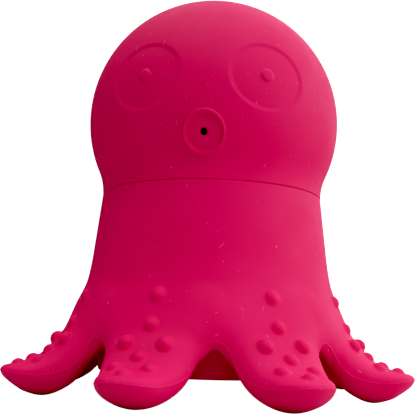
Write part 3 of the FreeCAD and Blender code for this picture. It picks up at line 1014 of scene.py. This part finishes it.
head_points, head_faces, head_vertex_normals = make_head()
head_mesh = mesh_from("head_skin", head_points, head_faces)
consistent(head_mesh)
head_corner = np.empty(len(head_mesh.loops), int)
head_mesh.loops.foreach_get("vertex_index", head_corner)
head = finish_piece(head_mesh, "head_skin", head_vertex_normals[head_corner])
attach(head, "head_shell")
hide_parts("head_shell")

# ---------------------------------------------------------------- stage, light, camera

BACKDROP_WHITE = 2.0
FLOOR_WHITE = 1.6
TOY_MIDDLE = Vector((0.0, 0.0, 0.05))
LIGHT_DISTANCE = 1.2

# The camera's turn round the toy, its distance from the axis and height in metres, and
# how far it looks up and leans.
CAMERA_TURN = math.radians(-2.62)
CAMERA_DISTANCE = 0.17762
CAMERA_HEIGHT = 0.01754
CAMERA_PITCH = math.radians(9.17)
CAMERA_ROLL = math.radians(1.66)

# The tone curve's highest value, and the light that it shows as black.
HIGHLIGHT_CEILING = 1.19
BLACK_LEVEL = 0.0205


def plain_material(name, colour, roughness):
    material = bpy.data.materials.new(name)
    material.use_nodes = True
    shader = material.node_tree.nodes["Principled BSDF"]
    shader.inputs["Base Color"].default_value = (*colour, 1.0)
    shader.inputs["Roughness"].default_value = roughness
    return material


def fade_out(material, near, far):
    """Make a floor's material melt into the white backdrop between two distances."""
    tree = material.node_tree
    place = tree.nodes.new("ShaderNodeTexCoord")
    length = tree.nodes.new("ShaderNodeVectorMath")
    length.operation = "LENGTH"
    share = tree.nodes.new("ShaderNodeMapRange")
    share.interpolation_type = "SMOOTHERSTEP"
    share.inputs["From Min"].default_value = near
    share.inputs["From Max"].default_value = far
    share.inputs["To Min"].default_value = 1.0
    share.inputs["To Max"].default_value = 0.0
    tree.links.new(place.outputs["Object"], length.inputs[0])
    tree.links.new(length.outputs["Value"], share.inputs["Value"])
    tree.links.new(share.outputs["Result"], tree.nodes["Principled BSDF"].inputs["Alpha"])


def white_for_camera(tree, socket, strength):
    """Give a surface this much white towards the camera, and none as light on the toy."""
    rays = tree.nodes.new("ShaderNodeLightPath")
    amount = tree.nodes.new("ShaderNodeMath")
    amount.operation = "MULTIPLY"
    amount.inputs[1].default_value = strength
    tree.links.new(rays.outputs["Is Camera Ray"], amount.inputs[0])
    tree.links.new(amount.outputs["Value"], socket)


bpy.ops.mesh.primitive_circle_add(vertices=96, radius=0.5, fill_type="NGON")
floor = bpy.context.object
floor.name = "floor"
floor_white = plain_material("floor_white", (0.6, 0.6, 0.6), 0.8)
floor_shader = floor_white.node_tree.nodes["Principled BSDF"]
floor_shader.inputs["Emission Color"].default_value = (1.0, 1.0, 1.0, 1.0)
white_for_camera(floor_white.node_tree, floor_shader.inputs["Emission Strength"], FLOOR_WHITE)
fade_out(floor_white, 0.12, 0.4)
floor.data.materials.append(floor_white)


def softbox(name, azimuth, elevation, width, power):
    """A square soft light aimed at the toy, its width in metres and its power in watts.

    Azimuth 0 is the camera's side of the toy and 90 the camera's right.
    """
    turn, rise = math.radians(azimuth) + CAMERA_TURN, math.radians(elevation)
    outwards = Vector((math.sin(turn) * math.cos(rise), -math.cos(turn) * math.cos(rise),
                       math.sin(rise)))
    light = bpy.data.lights.new(name, "AREA")
    light.size = width
    light.energy = power
    holder = bpy.data.objects.new(name, light)
    holder.location = TOY_MIDDLE + outwards * LIGHT_DISTANCE
    aim = TOY_MIDDLE - holder.location
    holder.rotation_euler = aim.to_track_quat("-Z", "Y").to_euler()
    bpy.context.scene.collection.objects.link(holder)


softbox("side", 100.0, 20.0, 0.6, 6.7)
softbox("front_right", 70.0, 15.0, 0.6, 4.6)
softbox("low_front", 0.0, 6.0, 0.5, 1.0)
softbox("key", 28.0, 48.0, 0.6, 5.4)
softbox("top", 0.0, 84.0, 1.0, 7.6)
softbox("right_top", 90.0, 60.0, 0.6, 1.5)
softbox("back", 180.0, 55.0, 0.8, 3.0)
softbox("back_right_high", 135.0, 45.0, 0.6, 2.9)
softbox("back_right", 140.0, 15.0, 0.6, 2.0)
softbox("left_top", -90.0, 70.0, 0.6, 2.6)
softbox("front_left", -60.0, 35.0, 0.6, 1.5)
softbox("left_rim", -115.0, 25.0, 0.6, 0.8)

world = bpy.data.worlds.new("studio")
bpy.context.scene.world = world
world.use_nodes = True
background = world.node_tree.nodes["Background"]
background.inputs["Color"].default_value = (1.0, 1.0, 1.0, 1.0)
white_for_camera(world.node_tree, background.inputs["Strength"], BACKDROP_WHITE)

camera_data = bpy.data.cameras.new("camera")
camera = bpy.data.objects.new("camera", camera_data)
bpy.context.scene.collection.objects.link(camera)
camera.location = (CAMERA_DISTANCE * math.sin(CAMERA_TURN),
                   -CAMERA_DISTANCE * math.cos(CAMERA_TURN), CAMERA_HEIGHT)
camera.rotation_euler = (Matrix.Rotation(CAMERA_TURN, 3, "Z")
                         @ Matrix.Rotation(math.pi / 2.0 + CAMERA_PITCH, 3, "X")
                         @ Matrix.Rotation(CAMERA_ROLL, 3, "Z")).to_euler()
camera_data.sensor_width = 36.0
camera_data.lens = 60.05
camera_data.shift_x = -0.0079
camera_data.shift_y = 0.0014
camera_data.clip_start = 0.005
camera_data.clip_end = 50.0
bpy.context.scene.camera = camera


def shoulder(light):
    """A soft highlight roll-off that never passes the ceiling."""
    return light / math.hypot(1.0, light / HIGHLIGHT_CEILING)


view = bpy.context.scene.view_settings
view.view_transform = "Standard"
view.use_curve_mapping = True
curves = view.curve_mapping
curves.black_level = (BLACK_LEVEL,) * 3
curves.extend = "EXTRAPOLATED"
master = curves.curves[3]
master.points[1].location = (1.0, shoulder(1.0))
for light in (0.25, 0.5, 0.75):
    master.points.new(light, shoulder(light))
curves.update()
